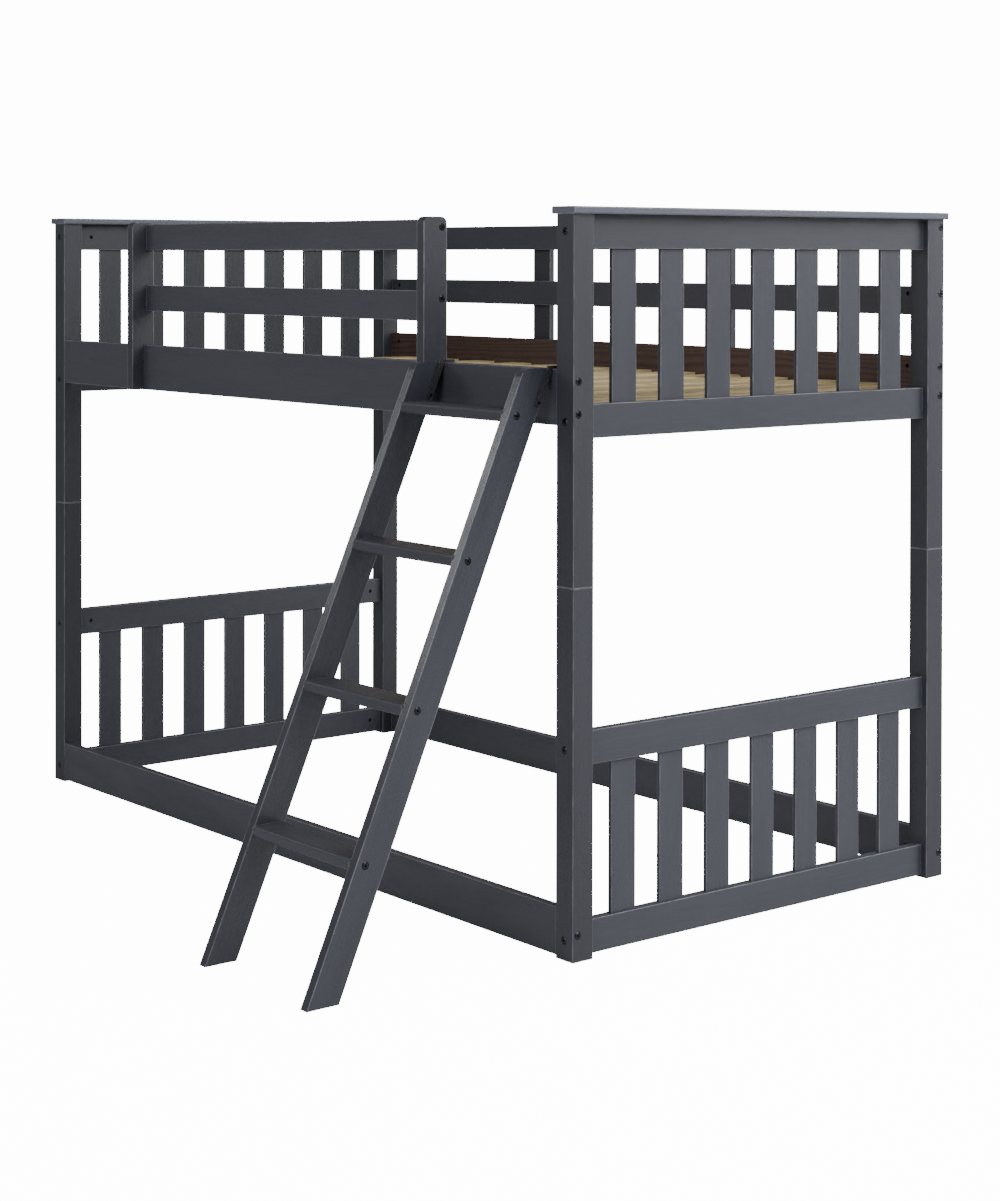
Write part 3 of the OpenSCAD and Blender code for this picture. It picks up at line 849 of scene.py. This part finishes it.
@dataclass
class Ladder:
    """Stiles and treads."""

    seed: float = 120.0
    tread_seed: float = 5.0
    # painted light and shade: tones of the stiles and of the treads from the lowest up, lighter or darker to
    # how much light each takes
    stile_tones: tuple[float, float] = (1.1368, 1.1832)
    tread_tones: Sequence[float] = (1.2296, 1.2064, 1.1832, 1.16)
    # the stiles' paint is smoother than the other boards'
    stile_rough: float = 0.19
    stile_relief: float = 0.25
    stile_bevel: float = 1.6 * MM

    @property
    def lean(self) -> float:
        """The stiles' lean in radians, from the lowest and the highest tread."""
        low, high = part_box("ladder_tread_1")[0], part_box(f"ladder_tread_{len(self.tread_tones)}")[0]
        return math.atan2(high.y - low.y, high.z - low.z)

    def build(self) -> None:
        """Paints the ladder."""
        for i, side in enumerate(("left", "right")):
            node = f"{side}_ladder_stile"
            board = Board.read(node, Grain.ALONG_Z, self.seed + i, lean=self.lean)
            paint = Paint(self.stile_tones[i], rough=self.stile_rough, relief=self.stile_relief)
            dress(node, paint.make(board))
            soften(node, self.stile_bevel)
        for i, tone in enumerate(self.tread_tones):
            node = f"ladder_tread_{i + 1}"
            board = Board.read(node, Grain.ALONG_X, self.seed + self.tread_seed + i)
            dress(node, Paint(tone).make(board))


@dataclass
class Hardware:
    """Bolts, nuts, pins, screws and hooks."""

    black: Sequence[str] = (
        "lower_frame_bolts",
        "upper_frame_bolts",
        "ladder_bolts",
        "lower_barrel_nuts",
        "upper_barrel_nuts",
    )
    coated: Sequence[str] = ("ladder_hooks",)
    bright: Sequence[str] = ("deck_screws", "post_pins")

    def build(self) -> None:
        """Gives the metal pieces their finish."""
        for names, finish in (
            (self.black, BLACK_STEEL),
            (self.coated, HOOK_STEEL),
            (self.bright, BARE_STEEL),
        ):
            material = finish.make()
            for node in names:
                dress(node, material)


# ---------------------------------------------------------------- studio

BED_MIDDLE: Point = (0.0, 0.0, 0.8)
LADDER_MIDDLE: Point = (0.8, -0.7, 0.9)


@dataclass(frozen=True)
class SoftBox:
    """A rectangular light: its middle, the point it faces, its width and height, and its power in watts."""

    name: str
    place: Point
    aim: Point
    size: tuple[float, float]
    power: float

    def build(self) -> None:
        """Adds the light."""
        lamp = bpy.data.lights.new(self.name, "AREA")
        lamp.shape = "RECTANGLE"
        lamp.size, lamp.size_y = self.size
        lamp.energy = self.power
        box = bpy.data.objects.new(self.name, lamp)
        box.location = self.place
        box.rotation_euler = (Vector(self.aim) - Vector(self.place)).to_track_quat("-Z", "Y").to_euler()
        bpy.context.scene.collection.objects.link(box)


@dataclass
class Studio:
    """Pale floor, soft lights and the camera."""

    # a broad key from the right and behind, a box overhead, a fill in front, and one for the ladder's edge
    lights: Sequence[SoftBox] = (
        SoftBox("key", (4.6, 4.0, 4.0), BED_MIDDLE, (3.0, 3.0), 194.0),
        SoftBox("low_key", (4.2, 6.0, 2.0), BED_MIDDLE, (3.0, 2.0), 61.0),
        SoftBox("overhead", (3.2, 0.8, 3.8), BED_MIDDLE, (3.0, 3.0), 148.0),
        SoftBox("front_fill", (2.0, -6.0, 2.6), BED_MIDDLE, (3.0, 2.0), 128.0),
        SoftBox("ladder_edge", (-2.4, -3.0, 2.55), LADDER_MIDDLE, (1.3, 0.9), 24.0),
    )
    # light of the surroundings: as the camera sees it, and as it falls on the bed
    backdrop: float = 14.0
    ambient: float = 0.222
    # the floor, from the middle to its edge, and the share of its own glow in what the camera sees
    floor_size: float = 60.0
    floor_colour: Colour = (0.82, 0.82, 0.82)
    floor_rough: float = 0.9
    floor_shine: float = 0.1
    floor_glow: float = 0.6
    # the camera's place, with Y from the front of the posts, and its turns in degrees
    camera_x: float = 4.390
    camera_y: float = -2.875
    camera_z: float = 1.317
    pitch: float = 89.46
    azimuth: float = 51.39
    roll: float = 0.09
    lens: float = 71.49
    shift_y: float = -0.2669
    clip_end: float = 200.0

    def camera(self) -> None:
        """Places the camera."""
        data = bpy.data.cameras.new("camera")
        data.lens = self.lens
        data.shift_y = self.shift_y
        data.clip_end = self.clip_end
        camera = bpy.data.objects.new("camera", data)
        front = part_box("front_right_lower_post")[0].y
        camera.location = (self.camera_x, front + self.camera_y, self.camera_z)
        turn = Matrix.Rotation(math.radians(self.azimuth), 4, "Z")
        turn @= Matrix.Rotation(math.radians(self.pitch), 4, "X")
        turn @= Matrix.Rotation(math.radians(self.roll), 4, "Z")
        camera.rotation_euler = turn.to_euler()
        bpy.context.scene.collection.objects.link(camera)
        bpy.context.scene.camera = camera

    def floor(self) -> None:
        """Lays the floor, which takes light as a pale sheet and shows as white."""
        mesh = bpy.data.meshes.new("floor")
        s = self.floor_size
        mesh.from_pydata([(-s, -s, 0), (s, -s, 0), (s, s, 0), (-s, s, 0)], [], [(0, 1, 2, 3)])
        floor = bpy.data.objects.new("floor", mesh)
        bpy.context.scene.collection.objects.link(floor)
        tree = Finish("studio_floor")
        tree.give("Base Color", self.floor_colour)
        tree.give("Roughness", self.floor_rough)
        tree.give("Specular IOR Level", self.floor_shine)
        strength = self.backdrop / self.floor_glow
        glow = tree.node("ShaderNodeEmission", None, {"Color": (1.0, 1.0, 1.0), "Strength": strength})
        seen = Value(tree, tree.node("ShaderNodeLightPath").outputs["Is Camera Ray"])
        both = tree.node(
            "ShaderNodeMixShader",
            None,
            {0: seen * self.floor_glow, 1: tree.shader.outputs[0], 2: glow.outputs[0]},
        )
        tree.feed(tree.output.inputs["Surface"], both.outputs[0])
        mesh.materials.append(tree.material)

    def world(self) -> None:
        """Lights the surroundings evenly and dimly, and shows them white."""
        world = bpy.data.worlds.new("studio")
        bpy.context.scene.world = world
        tree = Tree(world)
        seen = Value(tree, tree.node("ShaderNodeLightPath").outputs["Is Camera Ray"])
        strength = seen * (self.backdrop - self.ambient) + self.ambient
        back = tree.node("ShaderNodeBackground", None, {"Color": (1.0, 1.0, 1.0), "Strength": strength})
        tree.node("ShaderNodeOutputWorld", None, {"Surface": back.outputs[0]})

    def build(self) -> None:
        """Sets up the studio."""
        self.camera()
        self.floor()
        for light in self.lights:
            light.build()
        self.world()


def main() -> None:
    """Dresses the bed and sets up the studio."""
    logging.basicConfig(level=logging.INFO, format="%(name)s %(message)s")
    for piece in (
        # each unit's end-panel and post tones are painted light and shade
        BedUnit("lower", 0.0, (1.3, 1.42), (0.79, 1.03, 0.79, 1.0)),
        BedUnit("upper", 20.0, (0.78, 1.12), (0.85, 0.94, 0.79, 1.0)),
        Caps(),
        Deck(),
        Guards(),
        Ladder(),
        Hardware(),
        Studio(),
    ):
        piece.build()


if __name__ == "__main__":
    main()
